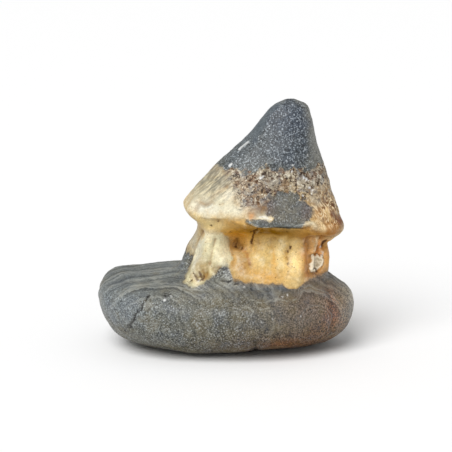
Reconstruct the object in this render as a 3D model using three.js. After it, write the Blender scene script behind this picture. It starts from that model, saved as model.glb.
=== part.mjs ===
// A hut-shaped viewing stone: one water-worn piece of banded rock. A flat dark
// slab carries a waisted pale wall on its right half, and a dark mountain-shaped
// roof with a leaning peak overhangs the wall all round. Millimetres, +Z up,
// front towards -Y; the origin is under the middle of the stone, on the surface
// that it stands on.
import * as THREE from "three";
import { mergeVertices } from "three/addons/utils/BufferGeometryUtils.js";
import { LoftGeometry } from "three/addons/geometries/LoftGeometry.js";

// The outline at each height of the stone's form, from the flat bed upwards.
// left, right, front and back are [how far out, how high]; left is -X, front is
// -Y. square is the section's corner power: 2 is an ellipse, more is boxier.
const STATIONS = [
  { name: "bed", left: [-40.5, 0], right: [43, 0], front: [-14, 0], back: [24, 0], square: 2 },
  { name: "heel", left: [-58, 4.5], right: [57.5, 3.5], front: [-29, 4], back: [34, 4], square: 2 },
  { name: "keel", left: [-65, 12], right: [66, 11], front: [-40, 11], back: [40, 11], square: 2.1 },
  { name: "belly", left: [-69.8, 22], right: [69.7, 21], front: [-44, 20], back: [43, 21], square: 2.2 },
  { name: "shoulder", left: [-70.2, 33.6], right: [68, 31], front: [-43, 29.5], back: [43, 31.5], square: 2.3 },
  { name: "ledge", left: [-61.5, 39.3], right: [59.4, 37.7], front: [-34, 36.5], back: [37, 39.5], square: 2.4 },
  { name: "foot", left: [-31.5, 42], right: [55.5, 40.3], front: [-29, 40], back: [27, 41], square: 2.6 },
  { name: "wall", left: [-20, 52], right: [55.6, 50], front: [-25, 50], back: [22, 52], square: 2.7 },
  { name: "waist", left: [-16, 64], right: [55, 58], front: [-19, 62], back: [17.5, 62], square: 2.7 },
  { name: "soffit", left: [-17, 70.5], right: [58.6, 61], front: [-24, 67.5], back: [22.5, 68], square: 2.6 },
  { name: "lip", left: [-23.3, 77.5], right: [63.7, 66.2], front: [-29, 71], back: [28, 72], square: 2.5 },
  { name: "eave", left: [-22, 83.5], right: [61, 75], front: [-27.5, 76.5], back: [26, 77], square: 2.4 },
  { name: "slope", left: [-7.6, 99.5], right: [54.8, 94], front: [-21, 95], back: [19, 95], square: 2.2 },
  { name: "neck", left: [8.4, 115], right: [49.2, 113], front: [-13.5, 114], back: [12, 114], square: 2.1 },
  { name: "crown", left: [19.8, 129], right: [45.2, 128], front: [-9, 129], back: [9, 129], square: 2 },
  { name: "brow", left: [24.6, 133.8], right: [42.8, 134], front: [-5, 134], back: [6, 134], square: 2 },
  { name: "peak", left: [31.5, 137], right: [36, 137], front: [-1, 137], back: [2, 137], square: 2 },
];

// Soft pushes that wear the form: each moves the surface near `at` by `by`,
// fading out over `reach` along X, Y and Z.
const PUSHES = [
  { name: "front leg, upper", at: [-7, -18, 60], reach: [8, 12, 10], by: [-1, -3, 0] },
  { name: "front leg, foot", at: [-13, -25, 46], reach: [10, 12, 10], by: [-2, -4, 0] },
  { name: "cave beside the leg", at: [5, -21, 60], reach: [6.5, 12, 6], by: [0, 7.5, 0] },
  { name: "sunk wall under the eave", at: [11, -22, 63], reach: [14, 12, 7], by: [0, 2.5, 0] },
  { name: "front right arris", at: [41, -20, 54], reach: [5, 8, 14], by: [0.3, -1.6, 0] },
  { name: "niche right of the arris", at: [49, -17, 54], reach: [5, 8, 11], by: [-1, 6, 0] },
  { name: "back left buttress", at: [-20, 9, 56], reach: [10, 10, 9], by: [-5, 2, 0] },
  { name: "gully behind the leg", at: [-18, -11, 50], reach: [7, 6, 11], by: [4, 1, 0] },
  { name: "back wall hollow", at: [18, 24, 55], reach: [14, 12, 9], by: [0, -4, 0] },
  { name: "back right pier", at: [44, 20, 52], reach: [8, 10, 12], by: [1, 3, 0] },
  { name: "dark foot of the buttress", at: [-26, -2, 46], reach: [8, 14, 6], by: [-1, 0, 0] },
  { name: "slab's front left swell", at: [-46, -30, 29], reach: [20, 14, 12], by: [-1, -2, 1] },
  { name: "trough along the ledge", at: [-50, -10, 39], reach: [22, 6, 6], by: [0, 0, -1.5] },
  { name: "bed's front left swell", at: [-12, -22, 2], reach: [24, 14, 8], by: [0, -4, 0] },
  { name: "lifted front of the underside", at: [26, -28, 4], reach: [18, 16, 8], by: [0, 1, 0.5] },
  { name: "raised left rim", at: [-60, 12, 36], reach: [9, 16, 7], by: [-0.6, 0, 1.8] },
  { name: "bay in the slab's back", at: [-18, 44, 25], reach: [20, 16, 16], by: [0, -3.5, 0] },
  { name: "cut back right corner", at: [58, 30, 27], reach: [16, 14, 14], by: [-4, -3, 0] },
  { name: "undercut of the cream eave", at: [-8, -30, 70], reach: [15, 8, 5], by: [0, 4, 4.5] },
  { name: "worn front right corner", at: [56, -34, 26], reach: [14, 12, 14], by: [-2, 2.5, 0] },
  { name: "shoulder of the cap's left slope", at: [1, -4, 106], reach: [9, 20, 10], by: [-1.2, 0, 0] },
];

const ACROSS = 72; // points round each section
const ROWS_PER_STATION = 3;
const LEAST_GAP = 1e-3; // points closer than this are one point
const DARK_ROCK = 0x74756f;

// One direction's outline as a smooth curve through its stations.
function outline(direction) {
  return new THREE.SplineCurve(
    STATIONS.map((station) => new THREE.Vector2(...station[direction])),
  );
}

const LEFT = outline("left");
const RIGHT = outline("right");
const FRONT = outline("front");
const BACK = outline("back");
const SQUARE = new THREE.SplineCurve(
  STATIONS.map((station, i) => new THREE.Vector2(i, station.square)),
);

// A signed cosine or sine raised towards a box corner.
function boxed(value, power) {
  return Math.sign(value) * Math.abs(value) ** (2 / power);
}

// The closed section at share t of the way from the bed to the peak: a squared
// ellipse between the four outlines, whose height blends from one outline to
// the next by the squares of the cosine and sine.
function section(t) {
  const [left, right, front, back] = [LEFT, RIGHT, FRONT, BACK].map((c) => c.getPoint(t));
  const power = SQUARE.getPoint(t).y;
  const points = [];
  for (let i = 0; i < ACROSS; i++) {
    const angle = (i / ACROSS) * 2 * Math.PI;
    const [c, s] = [Math.cos(angle), Math.sin(angle)];
    const sideways = c > 0 ? right : left;
    const endways = s > 0 ? back : front;
    points.push(
      new THREE.Vector3(
        (left.x + right.x) / 2 + ((right.x - left.x) / 2) * boxed(c, power),
        (front.x + back.x) / 2 + ((back.x - front.x) / 2) * boxed(s, power),
        c * c * sideways.y + s * s * endways.y,
      ),
    );
  }
  return points;
}

// A point after all the soft pushes.
function worn(point) {
  const moved = point.clone();
  for (const push of PUSHES) {
    const away = point.clone().sub(new THREE.Vector3(...push.at));
    away.divide(new THREE.Vector3(...push.reach));
    moved.addScaledVector(new THREE.Vector3(...push.by), Math.exp(-away.lengthSq()));
  }
  return moved;
}

function stoneGeometry() {
  const rows = (STATIONS.length - 1) * ROWS_PER_STATION;
  const sections = [];
  for (let row = 0; row <= rows; row++) {
    const points = section(row / rows).map(worn);
    if (row === 0) points.forEach((point) => point.setZ(0));
    sections.push(points);
  }
  const loft = new LoftGeometry(sections, { capStart: true, capEnd: true });
  const skin = new THREE.BufferGeometry();
  skin.setAttribute("position", loft.getAttribute("position"));
  skin.setIndex(loft.getIndex());
  const closed = mergeVertices(skin, LEAST_GAP);
  closed.computeBoundingBox();
  const middle = closed.boundingBox.getCenter(new THREE.Vector3());
  closed.translate(-middle.x, -middle.y, -closed.boundingBox.min.z);
  closed.computeVertexNormals();
  return closed;
}

const stone = new THREE.Mesh(
  stoneGeometry(),
  new THREE.MeshStandardMaterial({ color: DARK_ROCK, roughness: 0.6, metalness: 0 }),
);
stone.name = "stone";

const part = new THREE.Group();
part.add(stone);

export default part;
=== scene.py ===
"""A hut-shaped viewing stone: one water-worn piece of banded rock.

A dark slab carries a waisted pale wall, and a dark mountain-shaped roof with a
leaning peak overhangs the wall. The surface is one closed skin, lofted through
the same outlines as the CAD solid that it covers, then worn and weathered.
"""

import itertools
import math

import bpy
import numpy as np
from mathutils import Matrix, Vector


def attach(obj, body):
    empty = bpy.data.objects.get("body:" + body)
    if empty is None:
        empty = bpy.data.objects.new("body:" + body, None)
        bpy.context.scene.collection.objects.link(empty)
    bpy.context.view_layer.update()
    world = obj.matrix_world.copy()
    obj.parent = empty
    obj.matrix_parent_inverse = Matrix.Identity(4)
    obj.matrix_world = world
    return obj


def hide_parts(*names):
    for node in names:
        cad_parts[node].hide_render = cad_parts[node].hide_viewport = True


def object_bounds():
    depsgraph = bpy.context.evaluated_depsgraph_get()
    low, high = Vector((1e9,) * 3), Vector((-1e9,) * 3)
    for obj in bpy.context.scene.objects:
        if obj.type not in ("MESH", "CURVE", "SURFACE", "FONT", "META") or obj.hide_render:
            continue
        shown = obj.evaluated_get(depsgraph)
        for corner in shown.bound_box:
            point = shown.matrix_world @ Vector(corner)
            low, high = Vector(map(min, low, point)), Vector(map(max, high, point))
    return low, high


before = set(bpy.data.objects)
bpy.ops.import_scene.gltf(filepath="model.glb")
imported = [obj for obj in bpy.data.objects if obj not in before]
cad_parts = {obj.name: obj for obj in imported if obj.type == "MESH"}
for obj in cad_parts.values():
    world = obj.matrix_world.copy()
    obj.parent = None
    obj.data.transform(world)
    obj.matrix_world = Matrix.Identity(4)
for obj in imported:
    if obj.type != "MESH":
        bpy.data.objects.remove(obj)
cad_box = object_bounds()

MM = 0.001  # metres in a millimetre; the shapes below are in millimetres

# ---------------------------------------------------------------------------
# The stone's form, the same numbers as the CAD solid's
# ---------------------------------------------------------------------------

# The outline at each height, from the flat bed upwards: how far out and how
# high to the left, right, front and back, and the section's corner power.
STATIONS = (
    ((-40.5, 0), (43, 0), (-14, 0), (24, 0), 2.0),  # bed
    ((-58, 4.5), (57.5, 3.5), (-29, 4), (34, 4), 2.0),  # heel
    ((-65, 12), (66, 11), (-40, 11), (40, 11), 2.1),  # keel
    ((-69.8, 22), (69.7, 21), (-44, 20), (43, 21), 2.2),  # belly
    ((-70.2, 33.6), (68, 31), (-43, 29.5), (43, 31.5), 2.3),  # shoulder
    ((-61.5, 39.3), (59.4, 37.7), (-34, 36.5), (37, 39.5), 2.4),  # ledge
    ((-31.5, 42), (55.5, 40.3), (-29, 40), (27, 41), 2.6),  # foot
    ((-20, 52), (55.6, 50), (-25, 50), (22, 52), 2.7),  # wall
    ((-16, 64), (55, 58), (-19, 62), (17.5, 62), 2.7),  # waist
    ((-17, 70.5), (58.6, 61), (-24, 67.5), (22.5, 68), 2.6),  # soffit
    ((-23.3, 77.5), (63.7, 66.2), (-29, 71), (28, 72), 2.5),  # lip
    ((-22, 83.5), (61, 75), (-27.5, 76.5), (26, 77), 2.4),  # eave
    ((-7.6, 99.5), (54.8, 94), (-21, 95), (19, 95), 2.2),  # slope
    ((8.4, 115), (49.2, 113), (-13.5, 114), (12, 114), 2.1),  # neck
    ((19.8, 129), (45.2, 128), (-9, 129), (9, 129), 2.0),  # crown
    ((24.6, 133.8), (42.8, 134), (-5, 134), (6, 134), 2.0),  # brow
    ((31.5, 137), (36, 137), (-1, 137), (2, 137), 2.0),  # peak
)

# Soft pushes that wear the form: each moves the surface near the first place
# by the last step, fading out over the middle reach along X, Y and Z.
PUSHES = (
    ((-7, -18, 60), (8, 12, 10), (-1, -3, 0)),  # front leg, upper
    ((-13, -25, 46), (10, 12, 10), (-2, -4, 0)),  # front leg, foot
    ((5, -21, 60), (6.5, 12, 6), (0, 7.5, 0)),  # cave beside the leg
    ((11, -22, 63), (14, 12, 7), (0, 2.5, 0)),  # sunk wall under the eave
    ((41, -20, 54), (5, 8, 14), (0.3, -1.6, 0)),  # front right arris
    ((49, -17, 54), (5, 8, 11), (-1, 6, 0)),  # niche right of the arris
    ((-20, 9, 56), (10, 10, 9), (-5, 2, 0)),  # back left buttress
    ((-18, -11, 50), (7, 6, 11), (4, 1, 0)),  # gully behind the leg
    ((18, 24, 55), (14, 12, 9), (0, -4, 0)),  # back wall hollow
    ((44, 20, 52), (8, 10, 12), (1, 3, 0)),  # back right pier
    ((-26, -2, 46), (8, 14, 6), (-1, 0, 0)),  # dark foot of the buttress
    ((-46, -30, 29), (20, 14, 12), (-1, -2, 1)),  # slab's front left swell
    ((-50, -10, 39), (22, 6, 6), (0, 0, -1.5)),  # trough along the ledge
    ((-12, -22, 2), (24, 14, 8), (0, -4, 0)),  # bed's front left swell
    ((26, -28, 4), (18, 16, 8), (0, 1, 0.5)),  # lifted front of the underside
    ((-60, 12, 36), (9, 16, 7), (-0.6, 0, 1.8)),  # raised left rim
    ((-18, 44, 25), (20, 16, 16), (0, -3.5, 0)),  # bay in the slab's back
    ((58, 30, 27), (16, 14, 14), (-4, -3, 0)),  # cut back right corner
    ((-8, -30, 70), (15, 8, 5), (0, 4, 4.5)),  # undercut of the cream eave
    ((56, -34, 26), (14, 12, 14), (-2, 2.5, 0)),  # worn front right corner
    ((1, -4, 106), (9, 20, 10), (-1.2, 0, 0)),  # shoulder of the cap's left slope
)

COLUMNS = 400  # points round each row
ROWS = 248  # rows from the bed to the peak
FRONT_CROWDING = 0.35  # share by which the columns stand closer at the front
WAIST_CROWDING = 0.8  # share by which the rows stand closer from the wall to the cap
WAIST_STATION = 9.5  # where the rows stand closest
WAIST_SPREAD = 3.2  # over how many stations they do
NOISE_CELLS = 64  # along each side of a noise, before it repeats


def smooth_through(values, place):
    """Catmull-Rom cubics through evenly numbered values: slopes are half the neighbours' difference."""
    last = len(values) - 1
    index = np.clip(np.floor(place).astype(int), 0, last - 1)
    share = (place - index).reshape(-1, *[1] * (values.ndim - 1))
    before, start = values[np.maximum(index - 1, 0)], values[index]
    end, after = values[index + 1], values[np.minimum(index + 2, last)]
    slope_in, slope_out = (end - before) / 2, (after - start) / 2
    return (
        (2 * start - 2 * end + slope_in + slope_out) * share**3
        + (3 * end - 3 * start - 2 * slope_in - slope_out) * share**2
        + slope_in * share
        + start
    )


def lofted_form():
    """The bare form on a grid of rows and columns, with each row's station number.

    Between a row's four outline points, x and y follow a superellipse,
    middle + half width * sign(cos) * |cos| ** (2 / power), and the height goes
    from the side's to the end's as cos squared plus sin squared.
    """
    outlines = np.array([station[:4] for station in STATIONS], float)
    powers = np.array([station[4] for station in STATIONS], float)
    fine = np.linspace(0, len(STATIONS) - 1, 3000)
    steps = np.linalg.norm(np.diff(smooth_through(outlines, fine), axis=0), axis=2).mean(1)
    crowding = 1 + WAIST_CROWDING * np.exp(-(((fine[1:] - WAIST_STATION) / WAIST_SPREAD) ** 2))
    travelled = np.concatenate([[0], np.cumsum(steps * crowding)])
    place = np.interp(np.linspace(0, travelled[-1], ROWS), travelled, fine)
    left, right, front, back = np.moveaxis(smooth_through(outlines, place), 1, 0)[:, :, None]
    power = smooth_through(powers, place)[:, None]
    turn = np.linspace(0, 2 * np.pi, COLUMNS, endpoint=False)[None]
    turn = turn - FRONT_CROWDING * np.cos(turn)
    across, along = np.cos(turn), np.sin(turn)
    boxed_across = np.sign(across) * np.abs(across) ** (2 / power)
    boxed_along = np.sign(along) * np.abs(along) ** (2 / power)
    x = (left[..., 0] + right[..., 0]) / 2 + (right[..., 0] - left[..., 0]) / 2 * boxed_across
    y = (front[..., 0] + back[..., 0]) / 2 + (back[..., 0] - front[..., 0]) / 2 * boxed_along
    side = np.where(across > 0, right[..., 1], left[..., 1])
    end = np.where(along > 0, back[..., 1], front[..., 1])
    return np.stack([x, y, across**2 * side + along**2 * end], -1), place


def pushed(p):
    """The bare form plus each push's step times exp(-(distance / reach) ** 2).

    All pushes are weighed at the bare form, and the bed stays level.
    """
    moved = p.copy()
    for at, reach, step in PUSHES:
        moved += near(p, at, reach)[..., None] * step
    moved[0, :, 2] = 0
    return moved


# ---------------------------------------------------------------------------
# Tools for weathering the form; p is always an array of points in millimetres
# ---------------------------------------------------------------------------


def near(p, at, reach):
    """A bell round a place: exp(-((p - at) / reach) ** 2)."""
    return np.exp(-(((p - np.array(at, float)) / reach) ** 2).sum(-1))


def eased(low, high, value):
    """0 below low, 1 above high, and 3 s**2 - 2 s**3 between."""
    share = np.clip((value - low) / (high - low), 0, 1)
    return share * share * (3 - 2 * share)


def noise(p, size, seed, octaves=1):
    """Random values from -1 to 1 at the corners of cubes of the given size, blended inside each cube.

    Each further octave halves the size and the strength, and is shifted so that the corners don't meet.
    """
    total, strength = 0, 1
    for octave in range(octaves):
        table = np.random.default_rng(seed + octave).uniform(-1, 1, (NOISE_CELLS,) * 3)
        q = p / size * 2**octave + 0.37 * octave
        cell = np.floor(q).astype(int)
        share = q - cell
        share = share * share * (3 - 2 * share)
        for corner in itertools.product((0, 1), repeat=3):
            weight = np.prod(np.where(corner, share, 1 - share), axis=-1)
            value = table[tuple(np.moveaxis((cell + corner) % NOISE_CELLS, -1, 0))]
            total = total + strength * weight * value
        strength /= 2
    return total


def from_line(p, points, axes=(0, 2)):
    """Distance to a broken line, both seen along the axis that is left out of axes."""
    flat = p[..., axes]
    nearest = np.full(flat.shape[:-1], np.inf)
    for start, end in zip(points, points[1:]):
        run = np.subtract(end, start, dtype=float)
        share = np.clip(((flat - start) @ run) / (run @ run), 0, 1)[..., None]
        nearest = np.minimum(nearest, np.linalg.norm(flat - start - share * run, axis=-1))
    return nearest


def moved_by_noise(p, swing, size, seeds, octaves):
    """The place plus swing times a noise of its own along each axis, which makes edges wander."""
    return p + swing * np.stack([noise(p, size, seed, octaves) for seed in seeds], -1)


def outward(p):
    """Unit normals: the step to the next column crossed with the step to the next row."""
    n = np.cross(np.roll(p, -1, 1) - np.roll(p, 1, 1), np.gradient(p, axis=0))
    return n / np.maximum(np.linalg.norm(n, axis=-1, keepdims=True), 1e-9)


# ---------------------------------------------------------------------------
# Where the two rocks lie
# ---------------------------------------------------------------------------

# Height of the dark cap's lower edge along X.
CAP_EDGE = (
    (-12, 101), (-5, 101.5), (1, 101), (8.5, 99.8), (14, 100), (19.6, 103), (26, 100.2),
    (33, 101.8), (40, 100.8), (46, 100), (50, 102.8), (56, 104),
)
# The arrises that part the cap's grained front from its smooth flanks, as (Z, X) points.
LEFT_ARRIS = (
    (98, -2), (108, 9.5), (116.5, 16), (120, 19.2), (125, 21.6), (130.5, 24.4), (134, 27.5), (138, 33),
)
RIGHT_ARRIS = ((98, 46), (106, 45.4), (116, 44.4), (126, 43.4), (133, 41), (138, 35))
# Station number of the pale wall's foot along X, at the front and at the back.
FRONT_FOOT = (
    (-27, 6.2), (-24.4, 6.0), (-17, 5.8), (-12, 6.2), (-6.8, 6.6), (-2.4, 7.0), (0, 7.05), (3.6, 6.4),
    (9, 6.25), (14, 6.25), (20.5, 6.1), (21.8, 6.15), (29.5, 6.15), (31.5, 5.9), (33.5, 5.65),
    (35, 5.7), (37, 5.55), (39, 5.85), (41, 6.1), (44.8, 6.3), (55, 6.4),
)
BACK_FOOT = (
    (-30, 6.7), (-18, 6.6), (-10, 6.0), (0, 6.2), (10, 5.6), (22, 5.9), (30, 5.3), (38, 6.0),
    (50, 5.7), (60, 6.1),
)
MM_PER_STATION = 8  # along the surface, at the wall's foot
# Where the leg's pale foot ends over the dark ledge at its left, as (Z, X) points.
LEG_FOOT_LEFT = ((38, -25.5), (40, -24.2), (44, -21.4), (48, -19.4), (54, -17.4))
# A thin plate under the eave's front edge, dark rock in part and painted shade in part, and a white sliver
# on it, as (X, Z) points.
PLATE = ((10.2, 75), (15, 74.4), (22, 73.8), (30, 73.4), (38, 73))
WHITE_SLIVER = ((17.4, 77.4), (19.6, 77.2), (23.4, 76.3))
# The eave's grey patch at the front: the middle and the half sizes of a rounded
# box, and for each cut corner the cut's direction and a point on it, as (X, Z).
GREY_PATCH = ((33.2, 80.5), (12.3, 10))
PATCH_CUTS = (((0.62, 0.79), (35.5, 89.5)), ((0.6, -0.8), (42.5, 74.5)))
# The dark patch at the back: middle and radii, as (X, Z), and the rise per mm.
BACK_PATCH = ((5, 85), (15, 7), 0.22)
AWAY = 40  # mm, which takes a boundary off the side where it doesn't belong
OFF = 9  # mm, which does so with a small mark

# ---------------------------------------------------------------------------
# Fine relief and small marks
# ---------------------------------------------------------------------------

# The fold between the cream eave's roll and the lobe above it, as (X, Z) points.
EAVE_FOLD = ((-16.4, 79.5), (-14, 83), (-10.2, 82.6), (-7.2, 84.9), (-4, 88.7), (-0.5, 91.6))

# Fine lines on the front, as (X, Z) points, with half their width and how far
# they stand out: below zero they are grooves.
LINES = (
    # left arris of the cap
    (((28.7, 134), (24.6, 130.5), (22, 125), (19.2, 119), (16, 116.5), (11, 108)), 2.0, 0.8),
    (((41.8, 132.5), (44.2, 126.5), (44.2, 116.7), (48, 107)), 1.8, 0.45),  # right arris of the cap
    (((-16, 80.8), (-8, 79.8), (2, 79), (9, 77.6)), 2.8, 0.8),  # roll along the cream eave
    (EAVE_FOLD, 1.8, -0.7),
    (((-5.5, 86.8), (0, 88.8), (5, 88.2)), 2.4, 0.7),  # lobe above the fold
    (((-19.5, 79), (-18, 83.6), (-13, 87)), 1.8, 0.4),  # roll round the left end
    (((-14, 75.2), (-7, 74.2), (-2, 75.2), (4, 75.2), (9, 75.6)), 1.5, -0.6),  # groove below the roll
    (((43, 72.5), (50, 71), (56, 69.8), (61, 69)), 2.2, 1.4),  # roll along the right eave
    (((42, 60.5), (43.6, 63.6), (48, 64.6), (56, 62.5)), 1.5, -1.3),  # crease under the right eave
    # the arch over the niche, which runs down as the wall's right arris
    (((57, 66.5), (49, 67.8), (44, 66.6), (41.2, 63), (40.4, 58), (39.9, 50), (37.5, 41)), 2.0, 0.55),
    (((43.4, 64), (44.2, 58), (43.6, 52), (44.4, 46)), 1.6, -0.5),  # groove beside the arris
    (((45.6, 62), (46.1, 54), (45.4, 47)), 0.9, 0.7),  # rib in the niche
    (((48.2, 63.4), (47.6, 60), (46.2, 55.8)), 1.5, 1.8),  # drop hanging in the niche
    (((44.6, 62), (44.8, 57), (45.6, 54)), 1.0, -0.6),  # hollow at the drop's left
    (((49.6, 62.6), (49.4, 59.6), (48.4, 55.6)), 1.0, -0.9),  # hollow at the drop's right
    (((55, 60), (55.4, 52), (55, 44)), 1.6, 0.9),  # pillar at the right
    (((-9, 68), (-11.7, 60.6), (-14.4, 53.8), (-16.5, 47.5), (-19.4, 43)), 3.2, 0.8),  # leg's left lobe
    (((-13.4, 66), (-16.2, 60), (-18.8, 53), (-20.4, 48)), 1.2, -0.9),  # cleft behind the leg
    (((-6.6, 62.7), (-8.8, 56), (-9.4, 52)), 1.3, -1.2),  # crease between the lobes
    (((-0.6, 64), (1.8, 61), (3, 57.5), (3.8, 53), (2.8, 50)), 1.0, -0.5),  # right lobe's edge
    (((1.2, 49.2), (-2, 48.8), (-4.8, 50.2)), 0.9, -0.7),  # under the right lobe
    (((-15.8, 47.5), (-15.2, 44.5)), 0.7, -0.5),  # drips in the leg's foot
    (((-13, 48.2), (-12.3, 45)), 0.7, -0.6),
    (((-10.4, 46.8), (-11.6, 44.3)), 0.7, -0.5),
    (((-7.2, 49), (-5.4, 46.6)), 0.8, -0.6),
    (((4.6, 57), (6.5, 52), (8, 46)), 3.0, 0.5),  # stalk between leg and wall
    (((13, 60), (11.7, 54), (12.6, 50)), 1.6, -0.45),  # groove at the stalk's right
    (((23.4, 62), (23.2, 54), (22, 47)), 2.6, -0.45),  # flutes of the wall
    (((28.4, 62), (28.2, 54), (28, 46)), 2.2, 0.5),
    (((33, 62), (33.2, 53), (33, 46)), 1.6, -0.5),
    (((54, 39), (55.4, 32), (56.4, 22), (56, 11)), 1.5, -0.6),  # crease in the slab's right end
    (((15, 12), (15, 6), (16, 1)), 2.0, -1.0),  # notch in the underside
)

# Soft swells and dips on the front: place, reach and height.
SWELLS = (
    ((-2, -22, 55.5), (4.2, 12, 6.5), 1.4),  # right lobe of the leg
    ((-5, -20, 85), (8, 10, 4), 0.6),  # cream swell above the roll
    ((10, -22, 84), (5, 10, 6), -0.5),  # sunk brown middle
    ((13, -10, 114), (5, 8, 12), -1.0),  # cap's left flank
    ((47.5, -6, 112), (3, 6, 12), -0.6),  # cap's right flank
    ((48, -16, 82), (4, 10, 5), 0.7),  # blobs of the right roof
    ((52, -14, 75), (3, 10, 3), 0.7),
    ((46.5, -22, 74.5), (2.5, 8, 2), 0.7),
    ((56, -12, 71.5), (2.5, 8, 2), 0.5),
    ((32, -20, 96), (5, 10, 3.5), 0.5),  # lumps and dips of the crumbly band
    ((21, -20, 95), (4, 10, 3), -0.5),
    ((6, -20, 59.5), (4, 10, 3.5), -0.8),  # cave
    ((-16, -27, 40.5), (2.5, 6, 2), 0.7),  # chips at the leg's tip
    ((-7, -27, 46.6), (1.5, 8, 2.2), 0.8),  # knob in the leg's foot
    ((27, -30, 37), (7, 8, 3), 0.6),  # blue step under the wall
    ((20, 26, 88), (10, 10, 5), 0.7),  # lumps of the back eave
    ((-4, 24, 82), (7, 10, 5), -0.6),
    ((38, 24, 78), (6, 10, 4), 0.8),
    ((4, 22, 56), (3.5, 10, 9), 1.2),  # ribs down the back wall
    ((26, 22, 54), (4, 10, 9), 1.0),
    ((36, 22, 56), (3, 10, 8), -0.9),
    ((-12, 18, 54), (3.5, 8, 9), 0.9),
)

# The front edge of the eave, which overhangs what is below it, as (X, Z) points.
EAVE_EDGE = (
    (-23, 78.5), (-18, 77), (-11, 75.7), (0, 76.2), (6, 76), (10.6, 74.2), (15, 72.2),
    (20, 71.7), (27, 72.2), (38.5, 72), (46, 73), (52, 69.5), (60, 68),
)

# Thin cracks, as (X, Z) points.
CRACKS = (
    ((17.2, 71.6), (16.2, 69), (14.6, 67.4), (14.2, 65), (12.6, 61.2)),  # down from the plate
    ((14.6, 67.4), (12.6, 66.2)),
    ((-16.6, 45.8), (-15.7, 43.4)),  # in the leg's foot
    ((-14.2, 46.8), (-13.8, 44.2), (-14.4, 43)),
    ((-12.2, 46), (-13, 43.6)),
    ((-2.6, 43.2), (0.2, 42.7), (2.2, 42.4)),  # beside the leg's foot
    ((4, 41.6), (6.4, 41.9)),
    # down the slab's left end
    ((-41.2, 36), (-44.2, 33.2), (-45, 30.6), (-48.2, 27), (-49, 24), (-51.6, 20.4)),
)
# Small holes: middle, as (X, Z), radius and depth.
HOLES = (
    ((4.8, 59.2), 1.8, 1.8),  # bottom of the cave
    ((7.2, 58.4), 1.5, 1.0),
    ((5.4, 60.8), 1.2, 0.7),
    ((52.8, 58.6), 1.8, 2.0),  # slit in the niche
    ((52, 57), 1.2, 1.2),
    ((54.4, 60), 1.5, 1.2),
    ((34.2, 59.2), 1.7, 0.5),  # pores of the wall and the cream eave
    ((32.3, 57.5), 1.4, 0.5),
    ((32.4, 54), 1.1, 0.3),
    ((32.7, 51.6), 1.0, 0.3),
    ((17.8, 66.5), 1.3, 0.4),
    ((32, 67.5), 1.2, 0.3),
    ((26.1, 63.5), 1.1, 0.3),
    ((28.3, 60.8), 1.1, 0.3),
    ((18.2, 69.4), 1.2, 0.4),
    ((2.2, 66.5), 1.2, 0.4),
    ((17.2, 61), 1.1, 0.3),
    ((-4.6, 73.5), 1.2, 0.4),
    ((-8.5, 70.8), 1.3, 0.4),
    ((-50.9, 18.8), 2.0, 0.7),  # pits of the slab
    ((-54.6, 15.4), 1.9, 0.6),
    ((-32.6, 36.1), 1.8, 0.5),
    ((-30.4, 36.8), 1.5, 0.4),
    ((13, 39.3), 1.5, 0.7),
    ((-18.6, 42.2), 1.5, 0.8),  # beside the leg's tip
    ((-20.4, 41.2), 1.4, 0.7),
    ((4.5, 42.6), 1.3, 0.6),  # at the wall's foot
    ((9, 41.3), 1.2, 0.5),
    ((13.8, 85.2), 1.7, 0.6),  # in the roof
    ((16.6, 84.6), 1.4, 0.5),
    ((15.4, 95.2), 1.7, 0.5),
    ((12.5, 97), 1.4, 0.6),
    ((22, 102), 1.5, 0.7),
    ((26, 101), 1.3, 0.6),
)
SLIT = ((52.2, 57.2), (52.6, 58.4), (54, 59.6))  # dark gap in the niche, as (X, Z) points

# Thin pale veins in the slab, as (X, Z) points.
VEINS = (
    ((13, 34.3), (20.4, 33.6), (27, 34.6), (31.5, 33.4), (36.3, 34.3)),
    ((16.5, 31), (22, 31.5)),
    ((4.5, 29.4), (6.5, 31.6), (10.5, 32.2), (14, 30.6), (12, 27.8), (8, 27), (4.5, 29.4)),
    ((-61, 31), (-57, 35), (-50, 38.6), (-44, 40), (-34, 39.8), (-22, 39), (-12, 38.3)),
)

# The slab's front left mound and its right end: the middle and the radii of the
# ellipsoids that the flow banding of the dark rock wraps round.
MOUND = ((-37, -36, 22), (30, 18, 20))
RIGHT_END = ((44, -30, 20), (20, 16, 17))
BANDING = 3.4  # from one flow line to the next

CRYSTAL = (48.6, 49.4)  # middle, as (X, Z), of a crystal in the niche
CRYSTAL_RADIUS = 3.4
CRYSTAL_SPIKES = (
    ((46.1, 50), (46.2, 52.9)),
    ((45.5, 48), (45.8, 46.9), (47, 45.7)),
    ((50.6, 51), (51.2, 52.4)),
)
CRYSTAL_SHADOW = ((46.6, 47.6), (47.6, 46), (48.4, 45.1))  # painted shadow at its lower left

# Small white spots: crystals set in the rock, and at (41.6, 111.4) and (42.6, 108.2) painted highlights on
# the cap; middle, as (X, Z), and radius.
QUARTZ_AND_HIGHLIGHTS = (
    ((40.6, 96.9), 0.7), ((41.8, 95.8), 0.8), ((43.2, 95.4), 0.5), ((43.6, 91.4), 0.7), ((45, 90.2), 0.5),
    ((41.6, 111.4), 0.55), ((42.6, 108.2), 0.4), ((35, 103.5), 0.7), ((17.4, 97), 1.0), ((18.6, 97.8), 0.6),
    ((34.5, 100), 0.5), ((45.4, 88.4), 0.6), ((40.4, 87.6), 0.4), ((50.6, 57), 0.6), ((51.7, 54.6), 0.6),
    ((51.4, 53.4), 0.4), ((-15.4, 42.6), 0.55), ((-19, 39.6), 0.4), ((8.8, 40.2), 0.5), ((-33, 34.9), 0.8),
    ((-29.8, 36), 0.5), ((29.4, 35.4), 0.4), ((32.2, 36.4), 0.5), ((38.9, 26.1), 0.5), ((23.6, 25.8), 0.5),
    ((18, 24.5), 0.6),
)
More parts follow.
